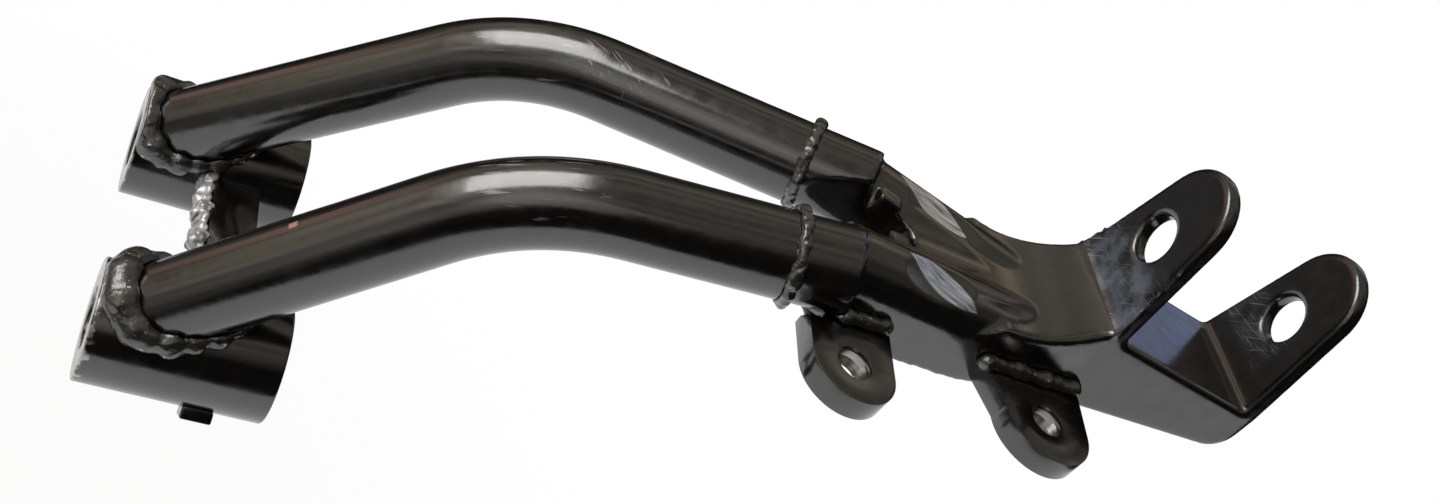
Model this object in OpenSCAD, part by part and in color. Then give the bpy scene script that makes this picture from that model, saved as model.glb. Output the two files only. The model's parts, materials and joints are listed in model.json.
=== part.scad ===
// Footrest bracket: a welded steel arm. Two bent round tubes carry a forged clevis on one
// end and a thick-walled mounting bush each on the other. Two tapped tabs stand out from the
// near side wall of the clevis, and a cross plate ties the two bushes together.
// Frame: the origin is the centre of the near bush bore and X runs along that bore.
// Y points from the near bush to the far one, and Z points to the clevis side.

/* [Bushes] */
// Outside diameter of a mounting bush
bush_d = 27; // [24:0.5:30]
// Bore of a mounting bush
bush_bore_d = 12.5; // [8:0.5:15]
// Length of a mounting bush
bush_len = 40; // [38:1:50]
// Depth of the countersunk lead at both ends of a bore
bush_lead = 1; // [0.3:0.1:2]
// Distance between the two bush axes
bush_spacing = 70; // [64:1:78]
// Shift of the far bush along the bore axis
far_bush_shift = 1.5; // [-1:0.5:2]

/* [Tubes] */
// Outside diameter of the bent tubes
tube_d = 19; // [17:0.5:20]
// Wall of the bent tubes
tube_wall = 2.5; // [1.5:0.25:4]
// Centreline radius of the bends
bend_r = 62; // [50:1:75]
// Place of the near tube's foot along its bush
near_foot_x = -15.5; // [-17:0.5:-10]
// Heading of the near tube in plan, from the foot
near_heading = -11; // [-15:0.5:-7]
// Rise of the near tube from the foot
near_rise = 46.5; // [43:0.5:50]
// Length of the near tube's first leg, from the bush axis to the knee point
near_leg_len = 97; // [90:1:104]
// Place of the far tube's foot along its bush
far_foot_x = -17.5; // [-18:0.5:-12]
// Heading of the far tube in plan, from the foot
far_heading = -21.5; // [-25:0.5:-17]
// Rise of the far tube from the foot
far_rise = 44; // [41:0.5:48]
// Length of the far tube's first leg, from the bush axis to the knee point
far_leg_len = 104; // [97:1:110]

/* [Clevis place] */
// Centre of the clevis pin, along the bush bore
pin_x = 208.5; // [200:0.5:217]
// Centre of the clevis pin, across
pin_y = -13.5; // [-18:0.5:-9]
// Centre of the clevis pin, above the bush bore
pin_z = 102; // [96:0.5:108]
// Turn of the clevis about X
clevis_roll = 4.5; // [1:0.5:8]
// Turn of the clevis about Y
clevis_pitch = 9.5; // [6:0.5:13]
// Turn of the clevis about Z
clevis_yaw = -3.5; // [-7:0.5:0]

/* [Clevis ears] */
// Clear gap between the two ears
ear_gap = 39.5; // [32:0.5:44]
// Thickness of an ear
ear_t = 4.2; // [3:0.1:6]
// Diameter of the pin holes
pin_hole_d = 11.5; // [8:0.5:13]
// Width of an ear at its root
ear_root_w = 32.5; // [30:0.5:36]
// Radius of the round ear tip
ear_tip_r = 12; // [10:0.5:14]
// Height of the tip centre above the pin
ear_tip_z = 9; // [4:0.5:12]
// Shift of the tip centre to the near side
ear_tip_shift = 1.8; // [0:0.2:3]
// Depth of the clevis floor below the pin
floor_drop = 18.6; // [17:0.2:22]

/* [Clevis body] */
// Radius of the concave ramp that runs up to the first ear
ramp_r = 32; // [28:0.5:40]
// Height of the ramp's top above its foot
ramp_rise = 11; // [9:0.2:12]
// Depth of the ramp's foot below the clevis floor
ramp_drop = 9.2; // [7.6:0.2:10]
// Thickness of the body under the second ear
tail_t = 12; // [10:0.5:14]
// Slope of the underside
under_slope = 11.5; // [9:0.5:14]
// Radius of the rounded corner under the second ear
tail_corner_r = 7; // [3:0.5:9]
// Depth of the legs' underside below the pin
leg_under_drop = 45.5; // [43:0.5:50]
// Fall of the legs' underside towards the tubes
leg_under_tilt = 3.5; // [0:0.5:6]
// Angle of each side wall to the middle plane
wall_angle = 9; // [7:0.5:11]
// Radius of the round top of the legs
ridge_r = 9.5; // [8.75:0.25:10.5]
// Height of the round tops above the ramp's foot
ridge_lift = 1.7; // [0.8:0.1:2.4]
// Distance of the near leg's ground flat ahead of the pin
near_flat_x = 65.5; // [62:0.5:68]
// Distance of the far leg's ground flat ahead of the pin
far_flat_x = 63; // [60:0.5:66]
// Depth to which a leg's round top is ground away at its flat
flat_depth = 1.1; // [0.6:0.1:1.6]
// Distance of the near leg's shoulder ahead of the pin
near_shoulder = 90; // [86:1:94]
// Distance of the far leg's shoulder ahead of the pin
far_shoulder = 80; // [77:1:86]
// Distance of the rounded crotch ahead of the pin
crotch = 68.5; // [66:0.5:71]
// Radius of the round trough in the web between the legs
trough_r = 12; // [9:0.5:16]
// Depth of the trough below the ramp's foot, at the crotch
trough_drop = 2.6; // [1:0.2:4]
// Length of the spigot that the near tube meets
near_spigot = 9.5; // [7:0.5:12]
// Length of the spigot that the far tube meets
far_spigot = 12; // [9:0.5:14]

/* [Tabs] */
// Thickness of a tab
tab_t = 5.3; // [4:0.1:7]
// Radius of the front tab's round end
front_tab_r = 10.2; // [9:0.1:12]
// Radius of the rear tab's round end
rear_tab_r = 11.6; // [10:0.1:12]
// Core diameter of the tapped holes
tap_d = 6.8; // [5:0.1:8.5]
// Distance of a tapped hole from the wall of the clevis
tab_reach = 12.8; // [11.5:0.1:16]
// Distance of the front tab's hole ahead of the pin
front_tab_x = 83.4; // [80:0.2:86]
// Distance of the rear tab's hole ahead of the pin
rear_tab_x = 30.8; // [27:0.2:36]
// Depth of the front tab's top below the pin
front_tab_drop = 41.4; // [39:0.2:42]
// Depth of the rear tab's top below the pin
rear_tab_drop = 37; // [34:0.2:38]
// Extra width of the rear tab's root on the side of the tubes
rear_tab_flare = 8; // [0:0.5:11]

/* [Cross plate and stop lug] */
// Width of the cross plate
plate_w = 11; // [8:0.5:14]
// Thickness of the cross plate
plate_t = 5; // [3:0.5:7]
// Place of the cross plate's middle along the bushes
plate_x = 6.5; // [5:0.5:9]
// Height of the cross plate's underside above the bush axes
plate_z = 0; // [-4:0.5:3]
// Width of the stop lug
lug_w = 6.8; // [5:0.2:10]
// Height of the stop lug below the bush
lug_h = 2.4; // [2:0.2:5]
// Place of the stop lug along the near bush
lug_x = 6.5; // [-6:0.5:12]
// Turn of the stop lug about the bush, away from straight down
lug_turn = -35; // [-50:1:0]

/* [Weld beads] */
// Radius of the beads round the tube feet
foot_bead_r = 3.9; // [3:0.1:4.5]
// Radius of the beads round the tube ends at the clevis
leg_bead_r = 1.6; // [1:0.1:2.2]
// Radius of the beads along the tabs and at the near end of the cross plate
tab_bead_r = 2.4; // [1.8:0.1:3]
// Radius of the bead along the edge of the cross plate
edge_bead_r = 3.4; // [2:0.1:3.8]
// Length of the bead along the edge of the cross plate
edge_bead_len = 24; // [12:1:30]

/* [Hidden] */
$fn = 64;
black = [0.06, 0.06, 0.065];
weld_black = [0.09, 0.09, 0.09];
tab_lean = 4.6;
flat_tilt = 20;
flat_turn = -12;
grind_r = 45;
near_end_out = 1.5;
near_end_drop = 2.7;
far_end_out = 2.1;
far_end_drop = 1.6;
foot_beads = 20;
small_bead = 0.88;
bead_lean = 0.22;
bead_set = 0.3;
bar_share = 0.8;
clear = 0.3;
spigot_sink = 3.6;
past = 1;
sink = 0.3;
swell = 0.02;
far = 400;

clevis_turn = [clevis_roll, clevis_pitch, clevis_yaw];
pin_place = [pin_x, pin_y, pin_z];
bush_r = bush_d / 2;
tube_r = tube_d / 2;
half_gap = ear_gap / 2;
ear_out = half_gap + ear_t;
half_body = ear_root_w / 2;
foot_z = -floor_drop - ramp_drop;
crease_z = foot_z + ramp_rise;
foot_x = -ear_out - sqrt(pow(ramp_r, 2) - pow(ramp_r - ramp_rise, 2));
leg_axis_z = foot_z + ridge_lift - ridge_r;
ridge_end_x = foot_x + sqrt(pow(ramp_r, 2) - pow(ramp_r - ridge_lift, 2)) + past;
tail_z = -floor_drop - tail_t;
under_knee_x = ear_out - (leg_under_drop + tail_z) / tan(under_slope);
corner_x = ear_out - tail_corner_r;
corner_z = tail_z + tail_corner_r * (1 - sin(under_slope)) / cos(under_slope);
leg_w = 2 * ridge_r / cos(wall_angle);
slot_base = half_body - ear_out * tan(wall_angle) - leg_w;
slot_x = (-crotch - slot_base * cos(wall_angle)) / (1 - sin(wall_angle));
slot_r = slot_x < 0 ? (slot_base - slot_x * tan(wall_angle)) * cos(wall_angle) : 1;

// Half width of the clevis body between its side walls, at a place x.
function wall_y(x) = half_body + max(0, -ear_out - x) * tan(wall_angle);
// Distance of a leg's axis from the middle plane, at a place x.
function leg_y(x) = wall_y(x) - ridge_r / cos(wall_angle);

function unit(v) = v / norm(v);
function turn_x(v, a) = [v[0], v[1] * cos(a) - v[2] * sin(a), v[1] * sin(a) + v[2] * cos(a)];
function turn_y(v, a) = [v[0] * cos(a) + v[2] * sin(a), v[1], v[2] * cos(a) - v[0] * sin(a)];
function turn_z(v, a) = [v[0] * cos(a) - v[1] * sin(a), v[0] * sin(a) + v[1] * cos(a), v[2]];
function turned(v, a) = turn_z(turn_y(turn_x(v, a[0]), a[1]), a[2]);
// A point of the clevis in the frame of the whole part.
function to_row(p) = pin_place + turned(p, clevis_turn);
function heading(plan, rise) = [cos(rise) * cos(plan), cos(rise) * sin(plan), sin(rise)];

near_foot = [near_foot_x, 0, 0];
far_foot = [far_foot_x, bush_spacing, 0];
near_up = heading(near_heading, near_rise);
far_up = heading(far_heading, far_rise);
near_knee = near_foot + near_leg_len * near_up;
far_knee = far_foot + far_leg_len * far_up;
near_end = to_row([-near_shoulder - near_spigot, -leg_y(-near_shoulder) - near_end_out,
                   leg_axis_z - near_end_drop]);
far_end = to_row([-far_shoulder - far_spigot, leg_y(-far_shoulder) + far_end_out,
                  leg_axis_z - far_end_drop]);
edge_bead_from = [plate_x - plate_w / 2 - bead_set * edge_bead_r, bush_spacing - bush_r,
                  plate_z + plate_t / 2];
near_on = unit(near_end - near_knee);
far_on = unit(far_end - far_knee);

module in_clevis() {
  translate(pin_place) rotate(clevis_turn) children();
}

// Puts children, which run along +Z from the origin, at p along the direction u.
module along(p, u) {
  side = unit(cross(u, norm([u[0], u[2]]) < clear ? [0, 0, 1] : [0, 1, 0]));
  up = cross(u, side);
  multmatrix([[side[0], up[0], u[0], p[0]],
              [side[1], up[1], u[1], p[1]],
              [side[2], up[2], u[2], p[2]]]) children();
}

// A bent rod from the point a over the knee point to the point b. The bend is thicker than
// the straights by the swell, and the straights reach into it by the sink.
module bent_rod(a, knee, b, r, longer) {
  u = unit(knee - a);
  v = unit(b - knee);
  bend = acos(u * v);
  setback = bend_r * tan(bend / 2);
  n = unit(cross(u, v));
  w = cross(v, n);
  c = knee + setback * v - bend_r * w;
  multmatrix([[w[0], v[0], n[0], c[0]],
              [w[1], v[1], n[1], c[1]],
              [w[2], v[2], n[2], c[2]]]) {
    rotate([0, 0, -bend]) {
      translate([bend_r, sink, 0]) rotate([90, 0, 0])
        cylinder(h = norm(knee - a) - setback + sink, r = r);
      rotate_extrude(angle = bend) translate([bend_r, 0]) circle(r = r + swell);
    }
    translate([bend_r, -sink, 0]) rotate([-90, 0, 0])
      cylinder(h = norm(b - knee) - setback + sink + longer, r = r);
  }
}

module bent_tube(a, knee, b, bush_y) {
  difference() {
    bent_rod(a, knee, b, tube_r, 0);
    bent_rod(a, knee, b, tube_r - tube_wall, past);
    translate([0, bush_y, 0]) rotate([0, 90, 0]) cylinder(h = far, r = bush_r, center = true);
  }
}

module bush(at) {
  translate(at) rotate([0, 90, 0]) difference() {
    cylinder(h = bush_len, d = bush_d, center = true);
    cylinder(h = bush_len + 2 * past, d = bush_bore_d, center = true);
    for (end = [-1, 1]) translate([0, 0, end * bush_len / 2]) mirror([0, 0, end < 0 ? 1 : 0])
      translate([0, 0, -bush_lead])
        cylinder(h = 2 * bush_lead, d1 = bush_bore_d, d2 = bush_bore_d + 4 * bush_lead);
  }
}

module near_bush() {
  color(black) bush([0, 0, 0]);
}

module far_bush() {
  color(black) bush([far_bush_shift, bush_spacing, 0]);
}

module near_tube() {
  color(black) bent_tube(near_foot, near_knee, near_end, 0);
}

module far_tube() {
  color(black) bent_tube(far_foot, far_knee, far_end, bush_spacing);
}

// Plan of the clevis body, out to a length ahead of the pin.
module body_plan(ahead) {
  polygon([[-ahead, -wall_y(-ahead)], [-ear_out, -half_body], [ear_out, -half_body],
           [ear_out, half_body], [-ear_out, half_body], [-ahead, wall_y(-ahead)]]);
}

// Side view of everything above the underside, with the rounded corner under the second ear.
module under_side() {
  tangent_x = corner_x + tail_corner_r * sin(under_slope);
  tangent_z = corner_z - tail_corner_r * cos(under_slope);
  end_x = -near_shoulder - 2 * ridge_r;
  end_z = -leg_under_drop + (end_x - under_knee_x) * tan(leg_under_tilt);
  translate([corner_x, corner_z]) circle(r = tail_corner_r);
  polygon([[end_x, 0], [end_x, end_z], [under_knee_x, -leg_under_drop],
           [tangent_x, tangent_z], [corner_x, corner_z], [ear_out, corner_z], [ear_out, 0]]);
}

// Side view of the body between the legs and the second ear, with the concave ramp on top.
module ramp_side() {
  difference() {
    polygon([[foot_x - ridge_r, leg_axis_z], [foot_x, foot_z], [-ear_out, crease_z],
             [-ear_out, -floor_drop], [ear_out, -floor_drop], [ear_out, -far / 4],
             [foot_x - ridge_r, -far / 4]]);
    translate([foot_x, foot_z + ramp_r]) circle(r = ramp_r);
  }
}

// Turns a side view in X and Z into a solid across the whole body.
module across() {
  rotate([90, 0, 0]) linear_extrude(height = far / 2, center = true) children();
}

// One leg with a round top and flat sides; side is -1 for the near leg and 1 for the far one.
// A grinding wheel has left a shallow flat on the shoulder that faces the near side.
module leg(side, shoulder, flat_x) {
  run = (ridge_end_x + shoulder) / cos(wall_angle);
  difference() {
    translate([-shoulder, side * leg_y(-shoulder), leg_axis_z])
      rotate([0, 0, -side * wall_angle]) {
        rotate([0, 90, 0]) cylinder(h = run, r = ridge_r);
        translate([0, -ridge_r, -far / 10]) cube([run, 2 * ridge_r, far / 10]);
      }
    translate([-flat_x, side * leg_y(-flat_x), leg_axis_z]) rotate([flat_tilt, 0, 0])
      translate([0, 0, ridge_r - flat_depth + grind_r])
        rotate([90, 0, flat_turn - side * wall_angle])
          cylinder(h = 4 * ridge_r, r = grind_r, center = true);
  }
}

module slot_plan() {
  end_x = -near_shoulder - 2 * ridge_r;
  end_y = slot_base - end_x * tan(wall_angle);
  translate([slot_x, 0]) circle(r = slot_r);
  polygon([[slot_x + slot_r * sin(wall_angle), slot_r * cos(wall_angle)], [end_x, end_y],
           [end_x, -end_y], [slot_x + slot_r * sin(wall_angle), -slot_r * cos(wall_angle)]]);
}

// Round trough in the web, which rises from the crotch to the foot of the ramp.
module trough() {
  rise = atan(trough_drop / (crotch + foot_x));
  translate([-crotch, 0, foot_z - trough_drop]) rotate([0, 90 - rise, 0])
    translate([-trough_r, 0, -slot_r]) cylinder(h = crotch + foot_x + 2 * slot_r, r = trough_r);
}

module ear(side) {
  tip = [-ear_tip_shift, ear_tip_z];
  root_a = [-half_body, -floor_drop];
  root_b = [half_body, -floor_drop];
  to_a = root_a - tip;
  to_b = root_b - tip;
  turn_a = atan2(to_a[1], to_a[0]) - acos(ear_tip_r / norm(to_a));
  turn_b = atan2(to_b[1], to_b[0]) + acos(ear_tip_r / norm(to_b));
  touch_a = tip + ear_tip_r * [cos(turn_a), sin(turn_a)];
  touch_b = tip + ear_tip_r * [cos(turn_b), sin(turn_b)];
  translate([side < 0 ? -ear_out : half_gap, 0, 0]) rotate([90, 0, 90]) difference() {
    union() {
      translate(tip) cylinder(h = ear_t, r = ear_tip_r);
      linear_extrude(height = ear_t)
        polygon([root_a + [0, -past], root_a, touch_a, tip, touch_b, root_b, root_b + [0, -past]]);
    }
    cylinder(h = 3 * ear_t, d = pin_hole_d, center = true);
  }
}

// Spigot of the clevis that a tube meets with its square end. Its other end is sunk into a leg.
module spigot(end, u, long) {
  along(end, u) cylinder(h = long + spigot_sink, r = tube_r);
}

module clevis() {
  color(black) {
    in_clevis() {
      difference() {
        intersection() {
          union() {
            intersection() {
              across() ramp_side();
              translate([0, 0, -far / 4]) linear_extrude(height = far / 4) body_plan(near_shoulder);
            }
            leg(-1, near_shoulder, near_flat_x);
            leg(1, far_shoulder, far_flat_x);
            translate([0, 0, -far / 8 + foot_z]) linear_extrude(height = far / 8)
              polygon([[-far_shoulder + past, -leg_y(-far_shoulder)], [foot_x, -leg_y(foot_x)],
                       [foot_x, leg_y(foot_x)], [-far_shoulder + past, leg_y(-far_shoulder)]]);
          }
          across() under_side();
        }
        translate([0, 0, -far / 4]) linear_extrude(height = far / 4) slot_plan();
        trough();
      }
      ear(-1);
      ear(1);
    }
    difference() {
      union() {
        spigot(near_end, near_on, near_spigot);
        spigot(far_end, far_on, far_spigot);
      }
      in_clevis() translate([0, 0, -far / 4]) linear_extrude(height = far / 4) slot_plan();
    }
  }
}

// A solid tab without its hole; the root runs into the wall and widens by the flare.
module tab_blank(x, drop, r, flare) {
  run = tab_reach + r / 2;
  translate([-x, -wall_y(-x) - tab_reach, -drop]) rotate([tab_lean, -tab_lean, 0])
    translate([0, 0, -tab_t]) {
      cylinder(h = tab_t, r = r);
      linear_extrude(height = tab_t)
        polygon([[-r, 0], [-r - flare, run], [r, run], [r, 0]]);
    }
}

// Room that the body of the clevis takes, seen in plan, run on past the near leg.
module body_room() {
  translate([0, 0, -far / 4]) linear_extrude(height = far / 4) body_plan(near_shoulder + far / 8);
}

// Room round the near spigot and its weld bead, over the whole length of the spigot.
module spigot_room() {
  along(near_end - near_spigot * near_on, near_on)
    cylinder(h = 2 * near_spigot + spigot_sink + past, r = tube_r + leg_bead_r + clear);
}

module tab(x, drop, r, flare) {
  difference() {
    in_clevis() difference() {
      tab_blank(x, drop, r, flare);
      body_room();
      translate([-x, -wall_y(-x) - tab_reach, -drop]) rotate([tab_lean, -tab_lean, 0])
        cylinder(h = 4 * tab_t, d = tap_d, center = true);
    }
    spigot_room();
  }
}

module front_tab() {
  color(black) tab(front_tab_x, front_tab_drop, front_tab_r, 0);
}

module rear_tab() {
  color(black) tab(rear_tab_x, rear_tab_drop, rear_tab_r, rear_tab_flare);
}

// Straight weld bead from a to b: a round bar with drops on it, at its ends and between them.
module bead_bar(a, b, r) {
  run = norm(b - a);
  drops = max(1, round(run / (3 * r)));
  along(a, unit(b - a)) {
    cylinder(h = run, r = bar_share * r);
    for (i = [0 : drops]) translate([0, 0, run * i / drops]) sphere(r = r);
  }
}

// Place of a tab's weld bead above the wall's corner with the tab, at px.
function tab_corner(x, drop, px) =
  [px, -wall_y(px) - bead_set * tab_bead_r,
   bead_set * tab_bead_r - drop
   + (px + x + wall_y(-x) + tab_reach - wall_y(px)) * tan(tab_lean)];

module tab_weld(x, drop, r, flare, x0, x1) {
  difference() {
    in_clevis() difference() {
      bead_bar(tab_corner(x, drop, x0), tab_corner(x, drop, x1), tab_bead_r);
      body_room();
      tab_blank(x, drop, r, flare);
    }
    spigot(near_end, near_on, near_spigot);
  }
}

module front_tab_weld() {
  color(weld_black) tab_weld(front_tab_x, front_tab_drop, front_tab_r, 0,
    -near_shoulder + 2 * tab_bead_r, -front_tab_x + front_tab_r - tab_bead_r);
}

module rear_tab_weld() {
  color(weld_black) tab_weld(rear_tab_x, rear_tab_drop, rear_tab_r, rear_tab_flare,
    -rear_tab_x - rear_tab_r - rear_tab_flare / 2, -rear_tab_x + rear_tab_r - tab_bead_r);
}

module plate_blank() {
  translate([plate_x - plate_w / 2, 0, plate_z]) cube([plate_w, bush_spacing, plate_t]);
}

// Room that a bush takes, run on past both of its ends.
module bush_room(bush_y) {
  translate([0, bush_y, 0]) rotate([0, 90, 0]) cylinder(h = far, r = bush_r, center = true);
}

module cross_plate() {
  color(black) difference() {
    plate_blank();
    bush_room(0);
    bush_room(bush_spacing);
  }
}

module stop_lug() {
  color(black) rotate([lug_turn, 0, 0]) difference() {
    translate([lug_x - lug_w / 2, -lug_w / 2, -bush_r - lug_h]) cube([lug_w, lug_w, 2 * lug_h]);
    bush_room(0);
  }
}

// Row of drops on the line where a tube meets its bush. They are largest on the outer side.
module foot_weld(foot, up, bush_y, end_x) {
  e = unit(cross(up, [0, 1, 0]));
  g = cross(up, e);
  difference() {
    for (i = [0 : foot_beads - 1]) {
      turn = 360 * i / foot_beads;
      p = foot + tube_r * (cos(turn) * e + sin(turn) * g) - [0, bush_y, 0];
      qa = pow(up[1], 2) + pow(up[2], 2);
      qb = 2 * (p[1] * up[1] + p[2] * up[2]);
      qc = pow(p[1], 2) + pow(p[2], 2) - pow(bush_r, 2);
      s = (sqrt(pow(qb, 2) - 4 * qa * qc) - qb) / (2 * qa);
      translate(p + s * up + [0, bush_y, 0])
        sphere(r = foot_bead_r * (1 + bead_lean * cos(turn)) * (i % 2 == 0 ? 1 : small_bead));
    }
    along(foot, up) cylinder(h = 4 * bush_d, r = tube_r);
    bush_room(bush_y);
    translate([end_x - 2 * bush_d, bush_y - bush_d, -bush_d]) cube(2 * bush_d);
  }
}

module near_foot_weld() {
  color(weld_black) foot_weld(near_foot, near_up, 0, -bush_len / 2);
}

module far_foot_weld() {
  color(weld_black) difference() {
    foot_weld(far_foot, far_up, bush_spacing, far_bush_shift - bush_len / 2);
    plate_blank();
    along(edge_bead_from, [0, -1, 0]) cylinder(h = edge_bead_len, r = edge_bead_r);
    translate(edge_bead_from) sphere(r = edge_bead_r);
  }
}

// Half-round ring on the joint between a tube end and its spigot.
module leg_weld(end, u) {
  along(end, u) rotate_extrude() difference() {
    translate([tube_r, 0]) circle(r = leg_bead_r);
    translate([0, -far / 2]) square([tube_r, far]);
  }
}

module near_leg_weld() {
  color(weld_black) leg_weld(near_end, near_on);
}

module far_leg_weld() {
  color(weld_black) leg_weld(far_end, far_on);
}

// Weld bead on the corner between the cross plate and the near bush.
module near_plate_weld() {
  top = plate_z + plate_t;
  x = plate_w / 2 - tab_bead_r;
  y = sqrt(pow(bush_r, 2) - pow(top, 2)) + bead_set * tab_bead_r;
  z = top + bead_set * tab_bead_r;
  color(weld_black) difference() {
    bead_bar([plate_x - x, y, z], [plate_x + x, y, z], tab_bead_r);
    bush_room(0);
    plate_blank();
  }
}

// Weld bead from the far bush along the edge of the cross plate.
module far_plate_weld() {
  color(weld_black) difference() {
    bead_bar(edge_bead_from, edge_bead_from - [0, edge_bead_len, 0], edge_bead_r);
    bush_room(bush_spacing);
    plate_blank();
    along(far_foot, far_up) cylinder(h = 4 * bush_d, r = tube_r);
  }
}

near_bush();
far_bush();
near_tube();
far_tube();
clevis();
front_tab();
rear_tab();
cross_plate();
stop_lug();
near_foot_weld();
far_foot_weld();
near_leg_weld();
far_leg_weld();
front_tab_weld();
rear_tab_weld();
near_plate_weld();
far_plate_weld();
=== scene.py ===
"""Footrest bracket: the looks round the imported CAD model, laid out as an add-on.

All lengths are in metres, in the frame of the CAD model: the origin is the centre of the
near bush bore, X runs along that bore, Y to the far bush and Z to the clevis side.
"""
import json
import math

import bpy
from bpy.props import FloatProperty, FloatVectorProperty, IntProperty, PointerProperty
from bpy.types import Operator, Panel, PropertyGroup
from mathutils import Euler, Matrix, Vector


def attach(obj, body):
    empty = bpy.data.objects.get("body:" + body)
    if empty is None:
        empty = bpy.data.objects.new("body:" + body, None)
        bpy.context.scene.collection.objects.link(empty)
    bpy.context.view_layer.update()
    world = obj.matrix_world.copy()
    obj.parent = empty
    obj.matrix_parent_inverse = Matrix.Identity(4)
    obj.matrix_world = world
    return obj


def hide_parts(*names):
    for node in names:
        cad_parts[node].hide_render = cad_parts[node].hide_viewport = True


bl_info = {
    "name": "Footrest bracket",
    "version": (1, 0, 0),
    "blender": (4, 5, 0),
    "location": "View3D > Sidebar > Bracket",
    "description": "Builds the looks of a welded footrest bracket round its CAD frame",
    "category": "Object",
}

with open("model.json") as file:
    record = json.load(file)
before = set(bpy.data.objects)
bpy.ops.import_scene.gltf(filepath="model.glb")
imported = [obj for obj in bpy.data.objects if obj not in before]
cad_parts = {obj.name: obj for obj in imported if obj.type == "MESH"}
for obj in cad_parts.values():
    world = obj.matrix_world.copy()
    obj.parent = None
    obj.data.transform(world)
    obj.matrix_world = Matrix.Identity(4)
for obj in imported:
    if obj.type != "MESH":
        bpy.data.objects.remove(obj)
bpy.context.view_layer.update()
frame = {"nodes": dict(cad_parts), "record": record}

# Bushes and tubes of the CAD model: the bush centres, half their length, and where each tube
# starts, bends and ends.
NEAR_BUSH = Vector((0.0, 0.0, 0.0))
FAR_BUSH = Vector((0.0015, 0.070, 0.0))
BUSH_R = 0.0135
BUSH_HALF = 0.020
NEAR_FOOT = Vector((-0.0155, 0.0, 0.0))
NEAR_KNEE = Vector((0.050044, -0.01274, 0.070361))
NEAR_END = Vector((0.103069, -0.022611, 0.079325))
FAR_FOOT = Vector((-0.0175, 0.070, 0.0))
FAR_KNEE = Vector((0.052106, 0.042582, 0.072244))
FAR_END = Vector((0.113299, 0.012834, 0.08197))
TUBE_R = 0.0095
TUBE_WALL = 0.0025
BEND_R = 0.062
BEND_STEPS = 40

# The clevis's own frame, which starts between the pin holes. Its edges are rounded from
# FORK_START on, along its own X, where they are sharper than SHARP_EDGE. Faces that lie
# flatter than FLAT_EDGE are joined first.
PIN = Vector((0.2085, -0.0135, 0.102))
CLEVIS_TURN = Euler((math.radians(4.5), math.radians(9.5), math.radians(-3.5)), "XYZ")
CLEVIS = Matrix.Translation(PIN) @ CLEVIS_TURN.to_matrix().to_4x4()
FORK_START = -0.045
SHARP_EDGE = math.radians(35)
FLAT_EDGE = math.radians(0.5)
FORGING_SMOOTHING = 6
FORGING_KEPT = 0.75

# The wheel that ground a flat on each leg of the clevis. Each row has the place on the leg's
# axis in the clevis's own frame, the turn of the wheel in plan, the shift of the bare lens
# along and across the flat, the turn of the lens and the tint of its steel, whose blue is a
# painted reflection of the window.
WHEEL_TILT = 20.0
WHEEL_LIFT = 0.0534
WHEEL_REACH = 0.0445
WHEELS = (((-0.0655, -0.01321, -0.0356), -3.0, (-0.0009, 0.0002), -10.5, (0.78, 0.84, 1.0)),
          ((-0.063, 0.01282, -0.0356), -21.0, (-0.0012, -0.0016), -2.0, (0.90, 0.88, 0.92)))
LENS = Vector((0.0105, 0.0025, 0.0033))

# Thickness of the tabs, and their threads. A thread's sleeve ends SLEEVE_INSET times the
# tab's bevel below each face.
TAB_T = 0.0053
THREAD_PITCH = 0.00125
THREAD_WALL = 0.0003
THREAD_STEPS = 40
RIDGE_R = 0.0006
SLEEVE_INSET = 1.1
ROD_FACETS = 96

# Weld beads: rounds of smoothing, size of the lumps, the level of their noise that leaves a
# bead as high as it is, and the height of a bead's lumps as a share of that in the panel.
MELTING = 5
FOOT_MELTING = 20
LUMP_SIZE = 0.0028
LUMP_LEVEL = 0.6
LUMP_SHARES = {"far_plate_weld": 3.2, "near_leg_weld": 2.2, "far_leg_weld": 2.2,
               "near_foot_weld": 0.8, "far_foot_weld": 0.8}

# Enamel: roughness where it is sound, the refraction that gives it its gloss, and how much
# paler and rougher it is under dust.
GLOSS = 0.14
ENAMEL_IOR = 1.9
DUST_SHADE = 2.2
DUST_ROUGHNESS = 0.08

# Depths inside the edge of a bush's end at which the bare rim starts and is full.
RIM_START = 0.0011
RIM_FULL = 0.0006

# Points of a mesh that lie closer than this are merged.
MERGE_GAP = 1e-6

# The camera of the photograph, worked out from the outlines of the part, and the point
# that the lamps face.
CAMERA_PLACE = Vector((-0.0415, -0.2794, 0.2322))
CAMERA_RIGHT = Vector((0.8772, -0.1687, 0.4495))
CAMERA_DOWN = Vector((0.2713, -0.5982, -0.754))
CAMERA_AHEAD = Vector((0.3961, 0.7834, -0.479))
CAMERA_LENS = 40.335
CAMERA_SENSOR = 36.0
STAGE_CENTRE = Vector((0.10, 0.02, 0.06))


def deselect():
    """Leaves edit mode and deselects everything."""
    if bpy.context.object and bpy.context.object.mode != "OBJECT":
        bpy.ops.object.mode_set(mode="OBJECT")
    bpy.ops.object.select_all(action="DESELECT")


def pick(obj):
    """Selects one object alone and makes it the active one."""
    deselect()
    obj.select_set(True)
    bpy.context.view_layer.objects.active = obj


def edit_all(obj):
    """Enters edit mode with the whole mesh selected."""
    pick(obj)
    bpy.ops.object.mode_set(mode="EDIT")
    bpy.ops.mesh.select_all(action="SELECT")


def face_outwards():
    """Turns the faces of the mesh in edit mode outwards and leaves that mode."""
    bpy.ops.mesh.select_all(action="SELECT")
    bpy.ops.mesh.normals_make_consistent(inside=False)
    bpy.ops.object.mode_set(mode="OBJECT")


def apply_modifier(obj, kind, **settings):
    """Adds a modifier with these settings and applies it."""
    pick(obj)
    mod = obj.modifiers.new(kind.title(), kind)
    for key, value in settings.items():
        setattr(mod, key, value)
    bpy.ops.object.modifier_apply(modifier=mod.name)


def place_done(obj):
    """Puts the object's place into its mesh."""
    pick(obj)
    bpy.ops.object.transform_apply(location=True, rotation=True, scale=True)


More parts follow.
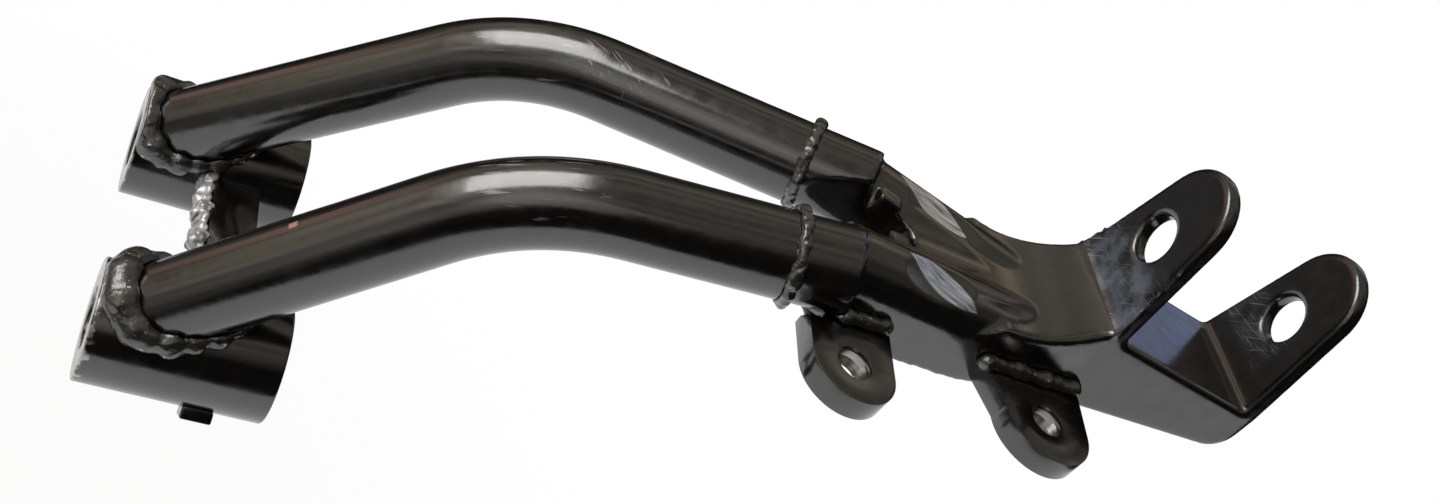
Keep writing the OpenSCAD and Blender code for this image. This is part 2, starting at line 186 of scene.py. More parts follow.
def shade(obj, angle=None):
    """Shades a piece smooth, apart from edges sharper than an angle where one is given."""
    pick(obj)
    if angle is None:
        bpy.ops.object.shade_smooth()
    else:
        bpy.ops.object.shade_smooth_by_angle(angle=math.radians(angle))


def merged_copy(node, name):
    """A copy of a CAD node as one closed mesh of its own."""
    source = frame["nodes"][node]
    obj = bpy.data.objects.new(name, source.data.copy())
    bpy.context.scene.collection.objects.link(obj)
    obj.data.materials.clear()
    edit_all(obj)
    bpy.ops.mesh.remove_doubles(threshold=MERGE_GAP)
    face_outwards()
    return obj


def cut_away(obj, cutter):
    """Cuts one closed shape out of another and removes the cutter."""
    apply_modifier(obj, "BOOLEAN", operation="DIFFERENCE", object=cutter, solver="EXACT")
    bpy.data.objects.remove(cutter, do_unlink=True)


def rod(place, axis, radius, length):
    """A round rod, to cut with, centred at a place along an axis."""
    deselect()
    turn = Vector(axis).to_track_quat("Z", "Y").to_euler()
    bpy.ops.mesh.primitive_cylinder_add(vertices=ROD_FACETS, radius=radius, depth=length,
                                        location=place, rotation=turn)
    obj = bpy.context.object
    place_done(obj)
    return obj


def break_edges(obj, width, angle=40.0):
    """Bevels the sharp edges and shades the rest smooth."""
    apply_modifier(obj, "BEVEL", width=width, segments=3, limit_method="ANGLE",
                   angle_limit=math.radians(angle))
    shade(obj, angle)


def finish_piece(obj, material, slot, *nodes):
    """Gives a piece its material and body, and lets it stand for CAD nodes."""
    obj.data.materials.clear()
    obj.data.materials.append(bpy.data.materials[material])
    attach(obj, "root")
    if nodes:
        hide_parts(*nodes)


class Wiring:
    """The node tree of a material or world, cleared and wired anew."""

    def __init__(self, owner):
        owner.use_nodes = True
        owner.node_tree.nodes.clear()
        self.nodes = owner.node_tree.nodes
        self.link = owner.node_tree.links.new

    def add(self, kind, label=None, **settings):
        """Adds a node and sets its inputs and options by name."""
        node = self.nodes.new(kind)
        if label:
            node.label = label
        for key, value in settings.items():
            name = key.replace("_", " ")
            if name in node.inputs:
                node.inputs[name].default_value = value
            else:
                setattr(node, key, value)
        return node

    def put(self, value, socket):
        """Links a socket, or writes a plain value."""
        if isinstance(value, bpy.types.NodeSocket):
            self.link(value, socket)
        else:
            socket.default_value = value

    def maths(self, operation, first, second=0.0, label=None):
        """Works one value out of two."""
        node = self.add("ShaderNodeMath", label, operation=operation)
        self.put(first, node.inputs[0])
        self.put(second, node.inputs[1])
        return node.outputs[0]

    def times(self, product, *factors):
        """Multiplies values and masks."""
        for factor in factors:
            product = self.maths("MULTIPLY", product, factor)
        return product

    def span(self, value, low, high, to_low=0.0, to_high=1.0, ease="SMOOTHSTEP"):
        """Carries a value from the span low to high over to another span."""
        node = self.add("ShaderNodeMapRange", interpolation_type=ease, From_Min=low,
                        From_Max=high, To_Min=to_low, To_Max=to_high)
        self.put(value, node.inputs["Value"])
        return node.outputs["Result"]

    def mapped(self, vector, kind="POINT", **settings):
        """Moves, turns and scales a vector."""
        node = self.add("ShaderNodeMapping", vector_type=kind, **settings)
        self.link(vector, node.inputs["Vector"])
        return node.outputs["Vector"]

    def noise(self, label, scale, detail, vector):
        """A noise texture."""
        node = self.add("ShaderNodeTexNoise", label, Scale=scale, Detail=detail)
        self.link(vector, node.inputs["Vector"])
        return node.outputs["Fac"]

    def show(self, output, mask, under, over):
        """Shows one shader, and another over it where the mask is 1."""
        mix = self.add("ShaderNodeMixShader")
        self.link(mask, mix.inputs["Fac"])
        self.link(under.outputs[0], mix.inputs[1])
        self.link(over.outputs[0], mix.inputs[2])
        self.link(mix.outputs[0], self.add(output).inputs["Surface"])


class Coat(Wiring):
    """Gloss enamel on steel, built up in layers that all read the object's own coordinates."""

    def __init__(self, name, paint, roughness, **settings):
        super().__init__(bpy.data.materials.new(name))
        self.shader = self.add("ShaderNodeBsdfPrincipled", IOR=ENAMEL_IOR, **settings)
        out = self.add("ShaderNodeOutputMaterial")
        self.link(self.shader.outputs["BSDF"], out.inputs["Surface"])
        self.place = self.add("ShaderNodeTexCoord").outputs["Object"]
        self.metal = None
        self.normal = None
        dust = self.grain("Dust", 240.0, 6.0)
        dusty = [DUST_SHADE * part for part in paint]
        self.colour = self.ramp(dust, 0.35, paint, 0.8, dusty)
        self.rough = self.span(dust, 0.3, 0.75, roughness, roughness + DUST_ROUGHNESS)

    def ramp(self, value, low, low_colour, high, high_colour):
        """A colour that runs into another as a value goes from low to high."""
        node = self.add("ShaderNodeValToRGB")
        first, last = node.color_ramp.elements
        first.position = low
        first.color = (*low_colour, 1)
        last.position = high
        last.color = (*high_colour, 1)
        self.link(value, node.inputs["Fac"])
        return node.outputs["Color"]

    def grain(self, label, scale, detail, vector=None, stretch=None, turn=(0, 0, 0)):
        """A noise texture, stretched and turned where that is asked."""
        vector = vector or self.place
        if stretch:
            turn = [math.radians(angle) for angle in turn]
            vector = self.mapped(self.mapped(vector, Rotation=turn), Scale=stretch)
        return self.noise(label, scale, detail, vector)

    def set_in(self, matrix, size=(1, 1, 1)):
        """Coordinates in the frame that a matrix places in the object's own, by its size."""
        return self.mapped(self.place, "TEXTURE", Location=matrix.to_translation(),
                           Rotation=matrix.to_euler("XYZ"), Scale=size)

    def parts(self, vector):
        """The X, Y and Z of a vector."""
        node = self.add("ShaderNodeSeparateXYZ")
        self.link(vector, node.inputs["Vector"])
        return node.outputs

    def room(self, vector, low, high, soft):
        """1 inside a box of that frame and 0 outside it, eased over the soft widths."""
        sides = []
        for value, start, stop, ease in zip(self.parts(vector), low, high, soft):
            sides.append(self.span(value, start - ease, start))
            sides.append(self.span(value, stop, stop + ease, 1.0, 0.0))
        return self.times(*sides)

    def mixed(self, kind, mask, under, over):
        """Lays a value or colour over another where the mask is 1."""
        node = self.add("ShaderNodeMix", data_type=kind)
        first, second, out = (6, 7, 2) if kind == "RGBA" else (2, 3, 0)
        self.link(mask, node.inputs["Factor"])
        self.put(under, node.inputs[first])
        self.put(over, node.inputs[second])
        return node.outputs[out]

    def layer(self, mask, colour, roughness, metallic=0.0):
        """Lays another finish over this one where the mask is 1."""
        if not isinstance(colour, bpy.types.NodeSocket):
            colour = (*colour, 1)
        self.colour = self.mixed("RGBA", mask, self.colour, colour)
        self.rough = self.mixed("FLOAT", mask, self.rough, roughness)
        if metallic or self.metal:
            self.metal = self.mixed("FLOAT", mask, self.metal or 0.0, metallic)

    def bump(self, height, strength, distance):
        """Adds a relief to the surface."""
        node = self.add("ShaderNodeBump", Strength=strength, Distance=distance)
        self.link(height, node.inputs["Height"])
        if self.normal:
            self.link(self.normal, node.inputs["Normal"])
        self.normal = node.outputs["Normal"]

    def done(self):
        """Links what the layers have built up to the shader."""
        for socket, name in ((self.colour, "Base Color"), (self.rough, "Roughness"),
                             (self.metal, "Metallic"), (self.normal, "Normal")):
            if socket:
                self.link(socket, self.shader.inputs[name])


def tube_enamel(paint):
    """Enamel of the tubes: slow waves, orange peel and light scuffs on top of the bends."""
    coat = Coat("Tube enamel", paint, GLOSS)
    coat.bump(coat.grain("Waves", 60.0, 1.0), 0.05, 0.0008)
    coat.bump(coat.grain("Orange peel", 520.0, 2.0), 0.10, 0.0002)
    # Each scuffed place: its low and high corner, the turn of the strokes and their colour.
    for low, high, turn, tone in (
            ((0.040, -0.021, 0.070), (0.060, -0.011, 0.085), (0, 27, 12), (0.45, 0.45, 0.47)),
            ((0.042, 0.031, 0.073), (0.058, 0.041, 0.085), (0, 27, 20), (0.45, 0.45, 0.47)),
            ((0.063, 0.024, 0.080), (0.078, 0.033, 0.087), (0, 12, 55), (0.40, 0.30, 0.30))):
        where = coat.room(coat.place, low, high, (0.003, 0.003, 0.003))
        lines = coat.grain("Scuffs", 1.0, 2.0, stretch=(90.0, 1600.0, 700.0), turn=turn)
        lines = coat.span(lines, 0.60, 0.70, 0.0, 0.45)
        coat.layer(coat.times(where, lines), tone, 0.40)
    # A small reddish spot on the near tube.
    reddish_spot = coat.room(coat.place, (0.0099, -0.0071, 0.0412), (0.0109, -0.0061, 0.0422),
                     (0.0005, 0.0005, 0.0005))
    coat.layer(reddish_spot, (0.35, 0.17, 0.12), 0.6)
    coat.done()


def bush_enamel(paint):
    """Enamel of the bushes, rubbed through to bright steel on the rims of their left ends."""
    coat = Coat("Bush enamel", paint, GLOSS)
    coat.bump(coat.grain("Waves", 70.0, 1.0), 0.05, 0.0008)
    coat.bump(coat.grain("Orange peel", 520.0, 2.0), 0.12, 0.0002)
    rub = coat.span(coat.grain("Rubbed rim", 420.0, 4.0), 0.46, 0.60)
    for bush in (NEAR_BUSH, FAR_BUSH):
        parts = coat.parts(coat.set_in(Matrix.Translation(bush)))
        flat = coat.add("ShaderNodeCombineXYZ")
        coat.link(parts["Y"], flat.inputs["X"])
        coat.link(parts["Z"], flat.inputs["Y"])
        reach = coat.add("ShaderNodeVectorMath", operation="LENGTH")
        coat.link(flat.outputs["Vector"], reach.inputs[0])
        rim = coat.span(reach.outputs["Value"], BUSH_R - RIM_START, BUSH_R - RIM_FULL)
        end = coat.span(parts["X"], 0.0002 - BUSH_HALF, 0.0006 - BUSH_HALF, 1.0, 0.0)
        coat.layer(coat.times(rim, end, rub), (0.48, 0.47, 0.45), 0.35, 0.9)
    coat.done()


def scuff_ears(coat, own):
    """Hazes and scratches the ear roots in the clevis's own frame, with a painted blue
    reflection.
    """
    rubbed = coat.span(coat.grain("Rubbed paint", 160.0, 5.0, own), 0.32, 0.68)
    lines = coat.maths(
        "MAXIMUM",
        coat.grain("Scratches", 1.0, 3.0, own, (300.0, 80.0, 2600.0), (42, 0, 0)),
        coat.grain("Crossing scratches", 1.0, 3.0, own, (250.0, 110.0, 3000.0), (8, 0, 0)))
    lines = coat.span(lines, 0.59, 0.72)
    # Each ear: low and high corner, soft widths, and how much haze and scratches show.
    for low, high, soft, haze, scratch in (
            ((-0.0243, -0.0165, -0.0185), (-0.0236, 0.0165, -0.011), (0.0002, 0.003, 0.012),
             0.95, 0.45),
            ((0.0195, -0.004, -0.010), (0.0205, 0.012, -0.003), (0.0003, 0.006, 0.004),
             0.22, 0.50)):
        where = coat.room(own, low, high, soft)
        # The haze is rubbed paint, and its blue tint is a painted reflection of the window.
        coat.layer(coat.times(where, rubbed, haze), (0.10, 0.12, 0.16), 0.42)
        coat.layer(coat.times(where, lines, scratch), (0.26, 0.28, 0.32), 0.45)


def grind_flats(coat, own):
    """Bares a lens of streaked steel on the flat of each leg, tinted with a painted reflection.
    """
    streaks = coat.grain("Grinding streaks", 1.0, 3.0, own, (150.0, 1600.0, 900.0), (0, 0, 12))
    for place, plan, (along, across), turn, steel_and_reflected_tint in WHEELS:
        wheel = (CLEVIS @ Matrix.Translation(place)
                 @ Matrix.Rotation(math.radians(WHEEL_TILT), 4, "X")
                 @ Matrix.Translation((0, 0, WHEEL_LIFT))
                 @ Matrix.Rotation(math.radians(plan), 4, "Z")
                 @ Matrix.Rotation(math.radians(90), 4, "X")
                 @ Matrix.Translation((along, -WHEEL_REACH, across))
                 @ Matrix.Rotation(math.radians(turn), 4, "Y"))
        parts = coat.parts(coat.set_in(wheel, LENS))
        outline = coat.maths("ADD", coat.times(parts["X"], parts["X"]),
                             coat.maths("ABSOLUTE", parts["Z"]))
        depth = coat.maths("ABSOLUTE", parts["Y"])
        lens = coat.times(coat.span(outline, 0.94, 1.04, 1.0, 0.0),
                          coat.span(depth, 0.9, 1.0, 1.0, 0.0),
                          coat.span(streaks, 0.28, 0.42, 0.25, 1.0))
        # The steel runs from dark streaks to the row's tint, whose blue is a painted
        # reflection.
        steel = coat.ramp(streaks, 0.3, [0.3 * part for part in steel_and_reflected_tint], 0.7, steel_and_reflected_tint)
        coat.layer(lens, steel, 0.40, 0.75)


def clevis_enamel(paint):
    """Enamel of the clevis, with a ground flat on each leg and scuffed ear roots."""
    coat = Coat("Clevis enamel", paint, GLOSS)
    coat.bump(coat.grain("Forged skin", 90.0, 2.0), 0.10, 0.0008)
    coat.bump(coat.grain("Orange peel", 520.0, 2.0), 0.10, 0.0002)
    own = coat.set_in(CLEVIS)
    scuff_ears(coat, own)
    grind_flats(coat, own)
    coat.done()


def weld_enamel(paint):
    """Enamel over the weld beads, with a painted sheen, ripples and a few bare specks of
    spatter.
    """
    # The paint is six times paler here, a painted sheen for the light that the welds reflect.
    coat = Coat("Weld enamel with painted sheen", [6 * part for part in paint], 0.22)
    coat.bump(coat.grain("Ripples", 520.0, 3.0), 0.55, 0.0007)
    coat.bump(coat.grain("Orange peel", 900.0, 2.0), 0.20, 0.0002)
    specks = coat.span(coat.grain("Spatter", 700.0, 1.0), 0.70, 0.74)
    coat.layer(specks, (0.5, 0.5, 0.48), 0.35, 0.8)
    coat.done()


def bare_weld():
    """Bare, bright weld metal with dark pits."""
    coat = Coat("Bare weld", (0.34, 0.34, 0.36), 0.30, Metallic=0.4)
    coat.bump(coat.grain("Ripples", 420.0, 4.0), 0.8, 0.0008)
    pits = coat.span(coat.grain("Pits", 300.0, 3.0), 0.52, 0.66)
    coat.layer(pits, (0.05, 0.05, 0.05), 0.5)
    coat.done()


def bare_thread():
    """Bright cut steel of the threads."""
    coat = Coat("Bare thread", (0.20, 0.195, 0.185), 0.26, Metallic=1.0)
    coat.bump(coat.grain("Tool marks", 1500.0, 2.0), 0.25, 0.0001)
    coat.done()


class BracketSizes(PropertyGroup):
    """Sizes of the finish that a user may change"""
    edge_bevel: FloatProperty(
        name="Edge bevel", description="Width of the broken edges of the bushes and plates",
        default=0.0005, min=0.0001, max=0.002, unit="LENGTH")
    tab_bevel: FloatProperty(
        name="Tab bevel", description="Width of the bevelled edges of the tabs",
        default=0.0007, min=0.0001, max=0.002, unit="LENGTH")
    forging_voxel: FloatProperty(
        name="Forging cell", description="Cell size used to round the edges of the forging",
        default=0.00055, min=0.0005, max=0.002, unit="LENGTH")
    forging_bevel: FloatProperty(
        name="Forging edges", description="Width of the rounded edges of the fork",
        default=0.0011, min=0.0003, max=0.002, unit="LENGTH")
    weld_voxel: FloatProperty(
        name="Weld cell", description="Cell size used to melt the weld drops together",
        default=0.0004, min=0.0003, max=0.001, unit="LENGTH")
    weld_lumps: FloatProperty(
        name="Weld lumps", description="Height of the lumps on the weld beads",
        default=0.0007, min=0.0, max=0.002, unit="LENGTH")
    thread_r: FloatProperty(
        name="Thread radius", description="Outer radius of the threads in the tabs",
        default=0.0042, min=0.0036, max=0.005, unit="LENGTH")
    tube_facets: IntProperty(
        name="Tube facets", description="Facets round a bent tube",
        default=96, min=32, max=192)


class BracketColours(PropertyGroup):
    """Colours that a user may change"""
    paint: FloatVectorProperty(
        name="Enamel", description="Colour of the black enamel", subtype="COLOR", size=3,
        default=(0.003, 0.0028, 0.0025), min=0, max=1)


def draw_tube(name, foot, knee, end, facets):
    """A bent tube: a ring that is extruded, spun round the bend and extruded again."""
    up = (knee - foot).normalized()
    on = (end - knee).normalized()
    bend = up.angle(on)
    setback = BEND_R * math.tan(bend / 2)
    hinge = up.cross(on).normalized()
    deselect()
    turn = up.to_track_quat("Z", "Y").to_euler()
    bpy.ops.mesh.primitive_circle_add(vertices=facets, radius=TUBE_R, location=foot,
                                      rotation=turn)
    obj = bpy.context.object
    obj.name = name
    place_done(obj)
    edit_all(obj)
    rise = (knee - foot).length - setback
    bpy.ops.mesh.extrude_region_move(TRANSFORM_OT_translate={"value": up * rise})
    centre = knee - setback * up + BEND_R * hinge.cross(up)
    bpy.ops.mesh.spin(steps=BEND_STEPS, angle=bend, center=centre, axis=-hinge)
    run = (end - knee).length - setback
    bpy.ops.mesh.extrude_region_move(TRANSFORM_OT_translate={"value": on * run})
    bpy.ops.mesh.select_all(action="SELECT")
    bpy.ops.mesh.remove_doubles(threshold=MERGE_GAP)
    face_outwards()
    apply_modifier(obj, "SOLIDIFY", thickness=TUBE_WALL, offset=-1.0, use_even_offset=True)
    return obj


class BRACKET_OT_tubes(Operator):
    """Adds the two bent tubes, coped round their bushes"""
    bl_idname = "bracket.tubes"
    bl_label = "Bent tubes"

    def execute(self, context):
        facets = context.scene.bracket_sizes.tube_facets
        for node, foot, knee, end, bush in (
                ("near_tube", NEAR_FOOT, NEAR_KNEE, NEAR_END, NEAR_BUSH),
                ("far_tube", FAR_FOOT, FAR_KNEE, FAR_END, FAR_BUSH)):
            obj = draw_tube(node + "_painted", foot, knee, end, facets)
            cut_away(obj, rod(bush, (1, 0, 0), BUSH_R, 6 * BUSH_HALF))
            shade(obj, 35)
            finish_piece(obj, "Tube enamel", "black_enamel", node)
        return {"FINISHED"}


class BRACKET_OT_bushes(Operator):
    """Adds the two mounting bushes, the cross plate and the stop lug with broken edges"""
    bl_idname = "bracket.bushes"
    bl_label = "Mounting bushes"

    def execute(self, context):
        for node in ("near_bush", "far_bush", "stop_lug", "cross_plate"):
            obj = merged_copy(node, node + "_painted")
            break_edges(obj, context.scene.bracket_sizes.edge_bevel)
            finish_piece(obj, "Bush enamel", "black_enamel", node)
        return {"FINISHED"}


def round_edges(obj, width, start):
    """Rounds the sharp edges of the forging that lie beyond a place along its length."""
    pick(obj)
    bpy.ops.object.mode_set(mode="EDIT")
    bpy.ops.mesh.select_mode(type="EDGE")
    bpy.ops.mesh.select_all(action="DESELECT")
    bpy.ops.mesh.edges_select_sharp(sharpness=SHARP_EDGE)
    bpy.ops.object.mode_set(mode="OBJECT")
    mesh = obj.data
    weights = mesh.attributes.new("bevel_weight_edge", "FLOAT", "EDGE").data
    for edge in mesh.edges:
        beyond = min(mesh.vertices[end].co.x for end in edge.vertices) > start
        weights[edge.index].value = 1.0 if edge.select and beyond else 0.0
    apply_modifier(obj, "BEVEL", width=width, segments=3, limit_method="WEIGHT",
                   use_clamp_overlap=False)


class BRACKET_OT_clevis(Operator):
    """Adds the forged clevis with rounded edges"""
    bl_idname = "bracket.clevis"
    bl_label = "Forged clevis"

    def execute(self, context):
        sizes = context.scene.bracket_sizes
        obj = merged_copy("clevis", "clevis_painted")
        apply_modifier(obj, "DECIMATE", decimate_type="DISSOLVE", angle_limit=FLAT_EDGE)
        obj.data.transform(CLEVIS.inverted())
        round_edges(obj, sizes.forging_bevel, FORK_START)
        apply_modifier(obj, "REMESH", mode="VOXEL", voxel_size=sizes.forging_voxel)
        apply_modifier(obj, "SMOOTH", factor=0.5, iterations=FORGING_SMOOTHING)
        apply_modifier(obj, "DECIMATE", ratio=FORGING_KEPT)
        obj.data.transform(CLEVIS)
        shade(obj)
        finish_piece(obj, "Clevis enamel", "black_enamel", "clevis")
        return {"FINISHED"}


def thread_coil(place, axis, radius, height):
    """The ridge of a thread: a closed triangle, screwed up along the hole."""
    deselect()
    bpy.ops.mesh.primitive_circle_add(vertices=3, radius=RIDGE_R, fill_type="NGON",
                                      location=(radius, 0, -height / 2),
                                      rotation=(math.radians(90), 0, 0))
    obj = bpy.context.object
    place_done(obj)
    turns = max(1, int((height - THREAD_PITCH) / THREAD_PITCH))
    apply_modifier(obj, "SCREW", axis="Z", angle=2 * math.pi, steps=THREAD_STEPS,
                   render_steps=THREAD_STEPS, screw_offset=THREAD_PITCH, iterations=turns)
    edit_all(obj)
    bpy.ops.mesh.remove_doubles(threshold=MERGE_GAP)
    bpy.ops.mesh.fill_holes(sides=3)
    face_outwards()
    obj.rotation_euler = Vector(axis).to_track_quat("Z", "Y").to_euler()
    obj.location = place
    place_done(obj)
    return obj


def thread_sleeve(place, axis, radius, height):
    """The wall of a threaded hole: a thin ring with its ridge, as one piece."""
    obj = rod(place, axis, radius, height)
    cut_away(obj, rod(place, axis, radius - THREAD_WALL, 2 * height))
    coil = thread_coil(place, axis, radius - THREAD_WALL, height)
    pick(obj)
    coil.select_set(True)
    bpy.ops.object.join()
    shade(obj, 30)
    return obj


class BRACKET_OT_tabs(Operator):
    """Adds the two tabs with bevelled edges and cut threads"""
    bl_idname = "bracket.tabs"
    bl_label = "Tapped tabs"

    def execute(self, context):
        sizes = context.scene.bracket_sizes
        mounts = {mount["name"]: mount for mount in frame["record"]["mounts"]}
        for node in ("front_tab", "rear_tab"):
            mount = mounts[node + "_thread"]
            place, axis = Vector(mount["pos_m"]), Vector(mount["axis"])
            obj = merged_copy(node, node + "_painted")
            cut_away(obj, rod(place, axis, sizes.thread_r, 4 * TAB_T))
            break_edges(obj, sizes.tab_bevel)
            finish_piece(obj, "Clevis enamel", "black_enamel", node)
            height = TAB_T - 2 * SLEEVE_INSET * sizes.tab_bevel
            sleeve = thread_sleeve(place, axis, sizes.thread_r, height)
            sleeve.name = node + "_thread"
            finish_piece(sleeve, "Bare thread", "black_enamel")
        return {"FINISHED"}


class BRACKET_OT_welds(Operator):
    """Adds the weld beads, melted together from their drops"""
    bl_idname = "bracket.welds"
    bl_label = "Weld beads"

    def execute(self, context):
        sizes = context.scene.bracket_sizes
        lumps = bpy.data.textures.new("Weld lumps", "CLOUDS")
        lumps.noise_scale = LUMP_SIZE
        lumps.noise_depth = 1
        welds = [node for node in sorted(frame["nodes"]) if node.endswith("_weld")]
        for node in welds:
            obj = merged_copy(node, node + "_painted")
            apply_modifier(obj, "REMESH", mode="VOXEL", voxel_size=sizes.weld_voxel)
            melting = FOOT_MELTING if node.endswith("_foot_weld") else MELTING
            apply_modifier(obj, "SMOOTH", factor=0.5, iterations=melting)
            height = LUMP_SHARES.get(node, 1.0) * sizes.weld_lumps
            apply_modifier(obj, "DISPLACE", texture=lumps, texture_coords="LOCAL",
                           strength=height, mid_level=LUMP_LEVEL)
            shade(obj)
            bare = node == "far_plate_weld"
            finish_piece(obj, "Bare weld" if bare else "Weld enamel with painted sheen", "painted_weld", node)
        return {"FINISHED"}


class BRACKET_OT_finishes(Operator):
    """Makes the enamel and bare metal finishes"""
    bl_idname = "bracket.finishes"
    bl_label = "Finishes"

    def execute(self, context):
        paint = tuple(context.scene.bracket_colours.paint)
        tube_enamel(paint)
        bush_enamel(paint)
        clevis_enamel(paint)
        weld_enamel(paint)
        bare_weld()
        bare_thread()
        return {"FINISHED"}


def floor_material():
    """Pale floor that glows white to the camera, less so in the middle, and in reflections."""
    mat = bpy.data.materials.new("Pale floor")
    tree = Wiring(mat)
    place = tree.add("ShaderNodeTexCoord").outputs["Object"]
    middle = tree.add("ShaderNodeTexGradient", gradient_type="SPHERICAL")
    tree.link(tree.mapped(place, Scale=(1.6, 1.6, 1.6)), middle.inputs["Vector"])
    share = tree.span(middle.outputs["Fac"], 0.0, 0.5, 1.0, 0.92, "LINEAR")
    paths = tree.add("ShaderNodeLightPath").outputs
    seen = tree.maths("MULTIPLY", paths["Is Camera Ray"], share, "Seen by the camera")
    seen = tree.maths("MAXIMUM", seen, paths["Is Glossy Ray"], "Seen in gloss")
    seen = tree.maths("MAXIMUM", seen, paths["Is Transmission Ray"], "Seen through glass")
    tree.show("ShaderNodeOutputMaterial", seen,
              tree.add("ShaderNodeBsdfDiffuse", Color=(0.9, 0.9, 0.9, 1)),
              tree.add("ShaderNodeEmission", Color=(1, 1, 1, 1), Strength=1.0))
    return mat


def studio_floor(name, low_corner, high_corner, height):
    """A floor with its origin in the middle."""
    deselect()
    middle = [(low + high) / 2 for low, high in zip(low_corner, high_corner)]
    bpy.ops.mesh.primitive_plane_add(size=1.0, location=(*middle, height))
    floor = bpy.context.object
    floor.name = name
    floor.scale = (high_corner[0] - low_corner[0], high_corner[1] - low_corner[1], 1)
    pick(floor)
    bpy.ops.object.transform_apply(location=False, rotation=False, scale=True)
    floor.data.materials.append(floor_material())


def studio_air(scene):
    """World: white to the camera, and a dim room with soft patches of light for the rest."""
    world = bpy.data.worlds.new("Studio air")
    scene.world = world
    tree = Wiring(world)
    coord = tree.add("ShaderNodeTexCoord").outputs["Generated"]
    total = (0, 0, 0)
    # Each patch: azimuth and height in degrees, the cosines of the angle from its middle
    # at which it starts and is full, and its colour.
    for label, azimuth, height, start, full, colour in (
            ("Ceiling", 90, 85, 0.25, 0.80, (0.36, 0.33, 0.27)),
            ("Back wall", 135, 34, 0.80, 0.98, (0.34, 0.27, 0.22)),
            ("Brick wall", 134, 9, 0.975, 0.995, (0.50, 0.26, 0.22)),
            ("Right wall", 52, 24, 0.956, 0.990, (0.26, 0.20, 0.13)),
            ("Window", 37, 14, 0.985, 0.996, (0.55, 0.70, 1.20)),
            ("Left wall", 175, 22, 0.87, 0.985, (0.72, 0.63, 0.48)),
            ("Front left wall", -148, 28, 0.82, 0.97, (0.50, 0.49, 0.45)),
            ("Back boards", 130, -8, 0.93, 0.99, (0.09, 0.09, 0.09)),
            ("Front left boards", -145, -4, 0.93, 0.99, (0.16, 0.15, 0.12)),
            ("Dark room", 0, 90, -1.6, -1.5, (0.02, 0.02, 0.02))):
        across, up = math.radians(azimuth), math.radians(height)
        dot = tree.add("ShaderNodeVectorMath", label, operation="DOT_PRODUCT")
        dot.inputs[1].default_value = (math.cos(up) * math.cos(across),
                                       math.cos(up) * math.sin(across), math.sin(up))
        tree.link(coord, dot.inputs[0])
        patch = tree.add("ShaderNodeVectorMath", operation="MULTIPLY_ADD")
        tree.link(tree.span(dot.outputs["Value"], start, full), patch.inputs[0])
        patch.inputs[1].default_value = colour
        tree.put(total, patch.inputs[2])
        total = patch.outputs["Vector"]
    clutter = tree.noise("Clutter of the room", 2.6, 2.0,
                         tree.mapped(coord, Scale=(1.0, 1.0, 5.0)))
    dimmed = tree.add("ShaderNodeVectorMath", operation="SCALE")
    tree.link(total, dimmed.inputs[0])
    tree.link(tree.span(clutter, 0.35, 0.65, 0.45, 1.35, "LINEAR"), dimmed.inputs["Scale"])
    room = tree.add("ShaderNodeBackground", Strength=1.0)
    tree.link(dimmed.outputs["Vector"], room.inputs["Color"])
    tree.show("ShaderNodeOutputWorld", tree.add("ShaderNodeLightPath").outputs["Is Camera Ray"],
              room, tree.add("ShaderNodeBackground", Color=(1, 1, 1, 1), Strength=1.0))


def soft_lamp(scene, name, direction, distance, size, power, colour):
    """An area lamp in a direction from the object, turned to face it."""
    data = bpy.data.lights.new(name, "AREA")
    data.shape = "RECTANGLE"
    data.size, data.size_y = size
    data.energy = power
    data.color = colour
    lamp = bpy.data.objects.new(name, data)
    scene.collection.objects.link(lamp)
    away = Vector(direction).normalized()
    lamp.location = STAGE_CENTRE + distance * away
    lamp.rotation_euler = (-away).to_track_quat("-Z", "Y").to_euler()


def photo_camera(scene):
    """The camera, where the photograph was taken from."""
    data = bpy.data.cameras.new("Camera")
    data.sensor_width = CAMERA_SENSOR
    data.lens = CAMERA_LENS
    data.clip_start = 0.01
    data.clip_end = 50.0
    camera = bpy.data.objects.new("Camera", data)
    scene.collection.objects.link(camera)
    turn = Matrix((CAMERA_RIGHT, -CAMERA_DOWN, -CAMERA_AHEAD)).transposed()
    camera.matrix_world = Matrix.Translation(CAMERA_PLACE) @ turn.to_4x4()
    scene.camera = camera


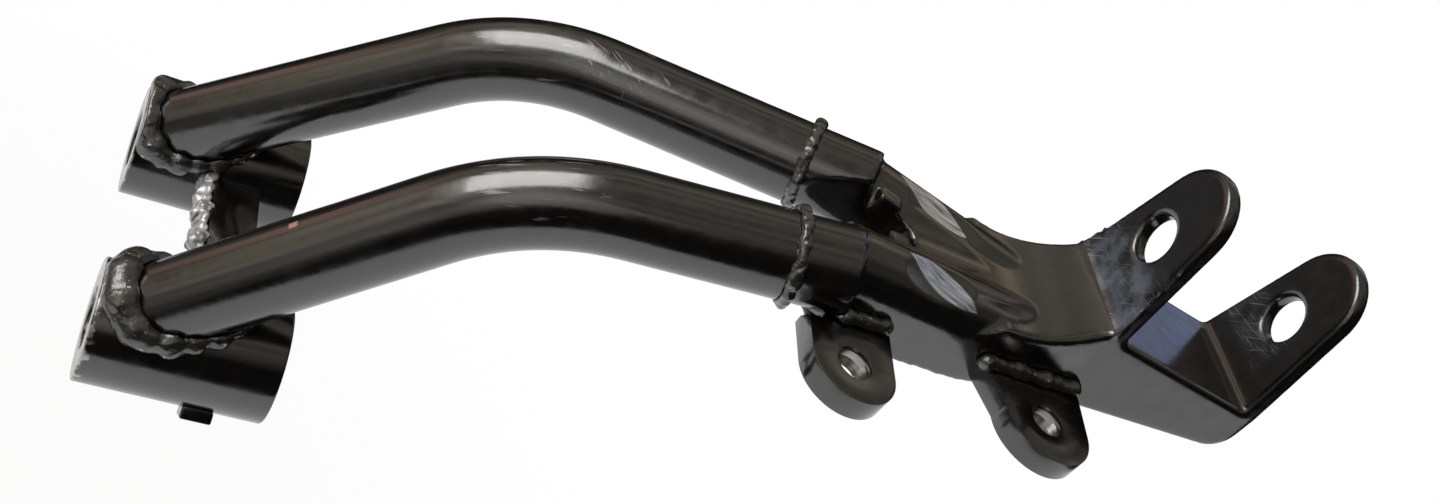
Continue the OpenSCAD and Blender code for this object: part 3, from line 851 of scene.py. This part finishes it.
class BRACKET_OT_stage(Operator):
    """Adds the floor, the soft lamps, the world and the camera"""
    bl_idname = "bracket.stage"
    bl_label = "Studio"

    def execute(self, context):
        scene = context.scene
        studio_floor("floor", low_corner=(-1.4, -0.95), high_corner=(0.95, 1.6), height=-0.45)
        studio_air(scene)
        soft_lamp(scene, "Overhead softbox", direction=(-0.60, 0.14, 0.79), distance=1.0,
                  size=(0.72, 0.60), power=7.0, colour=(1.0, 1.0, 0.99))
        soft_lamp(scene, "Front fill", direction=(-0.5, -0.75, 0.55), distance=1.3,
                  size=(0.9, 0.5), power=0.8, colour=(1.0, 0.98, 0.95))
        photo_camera(scene)
        scene.view_settings.view_transform = "Standard"
        return {"FINISHED"}


STEPS = (BRACKET_OT_stage, BRACKET_OT_finishes, BRACKET_OT_tubes, BRACKET_OT_bushes,
         BRACKET_OT_clevis, BRACKET_OT_tabs, BRACKET_OT_welds)


class BRACKET_PT_panel(Panel):
    """Lists the sizes, colours and pieces of the bracket"""
    bl_idname = "BRACKET_PT_panel"
    bl_label = "Footrest bracket"
    bl_space_type = "VIEW_3D"
    bl_region_type = "UI"
    bl_category = "Bracket"

    def draw(self, context):
        layout = self.layout
        for name in BracketSizes.__annotations__:
            layout.prop(context.scene.bracket_sizes, name)
        layout.prop(context.scene.bracket_colours, "paint")
        for step in STEPS:
            layout.operator(step.bl_idname)


CLASSES = (BracketSizes, BracketColours) + STEPS + (BRACKET_PT_panel,)


def register():
    """Registers the classes and adds the sizes and colours to the scene."""
    for cls in CLASSES:
        bpy.utils.register_class(cls)
    bpy.types.Scene.bracket_sizes = PointerProperty(type=BracketSizes)
    bpy.types.Scene.bracket_colours = PointerProperty(type=BracketColours)


def unregister():
    """Takes away what register added."""
    del bpy.types.Scene.bracket_colours
    del bpy.types.Scene.bracket_sizes
    for cls in reversed(CLASSES):
        bpy.utils.unregister_class(cls)


def main():
    register()
    bpy.ops.bracket.stage()
    bpy.ops.bracket.finishes()
    bpy.ops.bracket.tubes()
    bpy.ops.bracket.bushes()
    bpy.ops.bracket.clevis()
    bpy.ops.bracket.tabs()
    bpy.ops.bracket.welds()


if __name__ == "__main__":
    main()
